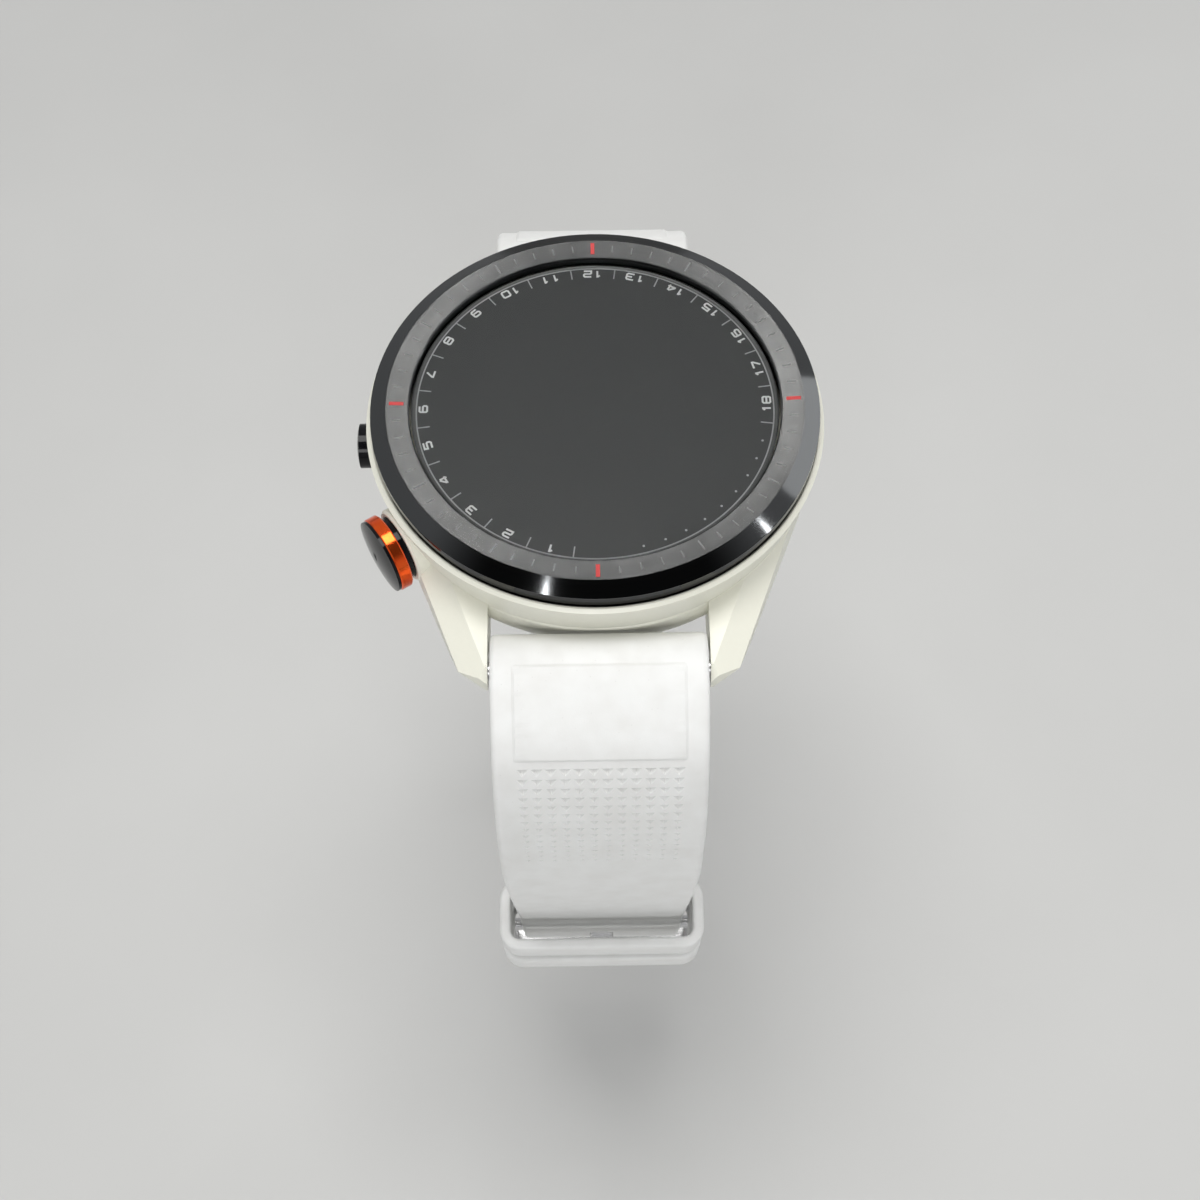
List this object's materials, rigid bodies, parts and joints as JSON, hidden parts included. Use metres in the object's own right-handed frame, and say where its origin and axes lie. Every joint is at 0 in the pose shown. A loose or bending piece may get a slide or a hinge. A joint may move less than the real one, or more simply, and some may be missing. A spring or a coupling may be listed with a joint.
{
  "type": "golf gps watch",
  "caption": "Round golf GPS watch with graduated bezel, push buttons on one side and a quick-release silicone strap hanging open from its lugs.",
  "frame": {"origin": "centre of the flat sensor plateau on the case back, the lowest face of the case", "axes": "+Z out of the dial, +Y towards twelve o'clock, +X towards three o'clock and the buttons"},
  "size_m": [0.0497, 0.0754, 0.1155],
  "materials": {
    "case_white": "fine matte",
    "bezel_black": "brushed top, polished chamfer",
    "seal_rubber": "matte",
    "lens_glass": "polished, anti-reflective",
    "display_dark": "display off",
    "frame_black": "fine matte",
    "board_green": "solder mask",
    "battery_foil": "satin foil",
    "shield_metal": "tinned sheet",
    "sensor_gloss": "gloss, infrared-clear",
    "sensor_white": "moulded",
    "contact_gold": "gold plated",
    "steel": "satin stainless",
    "buckle_steel": "satin stainless",
    "switch_black": "moulded",
    "button_black": "polished",
    "button_orange": "bright anodised, polished",
    "strap_white": "matte silicone"
  },
  "bodies": {
    "case": {"case_shell": "case_white", "bezel_ring": "bezel_black", "bezel_gasket": "seal_rubber", "display_lens": "lens_glass", "lens_seal": "seal_rubber", "display_panel": "display_dark", "display_holder": "frame_black", "gps_antenna": "contact_gold", "main_board": "board_green", "battery": "battery_foil", "shield_can": "shield_metal", "vibration_motor": "shield_metal", "sensor_board": "board_green", "back_cover": "frame_black", "back_seal": "seal_rubber", "sensor_window": "sensor_gloss", "optical_sensor": "sensor_white", "back_screws": "steel", "charge_port": "frame_black", "charge_contacts": "contact_gold", "upper_lug_pin": "steel", "lower_lug_pin": "steel", "button_bushes": "steel", "tact_switches": "switch_black"},
    "action_button": {"action_stem": "steel", "action_seal": "seal_rubber", "action_clip": "steel", "action_spring": "steel", "action_cap": "button_black", "action_ring": "button_orange"},
    "mid_button": {"mid_stem": "steel", "mid_seal": "seal_rubber", "mid_clip": "steel", "mid_spring": "steel", "mid_cap": "button_black"},
    "lower_button": {"lower_stem": "steel", "lower_seal": "seal_rubber", "lower_clip": "steel", "lower_spring": "steel", "lower_cap": "button_black"},
    "upper_strap": {"buckle_strap": "strap_white", "upper_latch_cradle": "steel", "upper_latch_springs": "steel", "buckle_bar": "steel", "fixed_keeper": "strap_white"},
    "upper_latch": {"upper_latch_slider": "steel"},
    "lower_strap": {"tail_strap": "strap_white", "lower_latch_cradle": "steel", "lower_latch_springs": "steel"},
    "lower_latch": {"lower_latch_slider": "steel"},
    "buckle": {"buckle_frame": "buckle_steel"},
    "tongue": {"buckle_tongue": "buckle_steel"},
    "keeper": {"free_keeper": "strap_white"}
  },
  "joints": [
    {"name": "action_button_press", "type": "slide", "parent": "case", "child": "action_button", "axis": [-0.848, -0.5299, 0], "range_m": [0, 0.0006], "stiffness_N_per_m": 1200, "springref_m": -0.0008, "deforming": ["action_spring"]},
    {"name": "mid_button_press", "type": "slide", "parent": "case", "child": "mid_button", "axis": [-1, 0, 0], "range_m": [0, 0.0006], "stiffness_N_per_m": 1200, "springref_m": -0.0008, "deforming": ["mid_spring"]},
    {"name": "lower_button_press", "type": "slide", "parent": "case", "child": "lower_button", "axis": [-0.848, 0.5299, 0], "range_m": [0, 0.0006], "stiffness_N_per_m": 1200, "springref_m": -0.0008, "deforming": ["lower_spring"]},
    {"name": "upper_strap_hinge", "type": "hinge", "parent": "case", "child": "upper_strap", "pos_m": [0, 0.0262, 0.0044], "axis": [1, 0, 0], "range_deg": [-27, 30]},
    {"name": "lower_strap_hinge", "type": "hinge", "parent": "case", "child": "lower_strap", "pos_m": [0, -0.0262, 0.0044], "axis": [1, 0, 0], "range_deg": [-40, 22]},
    {"name": "upper_latch_slide", "type": "slide", "parent": "upper_strap", "child": "upper_latch", "axis": [0, 0.7071, -0.7071], "range_m": [0, 0.0023], "stiffness_N_per_m": 300, "springref_m": -0.003, "deforming": ["upper_latch_springs"]},
    {"name": "lower_latch_slide", "type": "slide", "parent": "lower_strap", "child": "lower_latch", "axis": [0, -0.5299, -0.848], "range_m": [0, 0.0023], "stiffness_N_per_m": 300, "springref_m": -0.003, "deforming": ["lower_latch_springs"]},
    {"name": "buckle_hinge", "type": "hinge", "parent": "upper_strap", "child": "buckle", "pos_m": [0, 0.02989, -0.05858], "axis": [1, 0, 0], "range_deg": [-80, 0]},
    {"name": "tongue_hinge", "type": "hinge", "parent": "upper_strap", "child": "tongue", "pos_m": [0, 0.02989, -0.05858], "axis": [1, 0, 0], "range_deg": [0, 110]},
    {"name": "keeper_slide", "type": "slide", "parent": "upper_strap", "child": "keeper", "axis": [0, 0.1994, 0.9799], "range_m": [-0.0016, 0.006]}
  ]
}
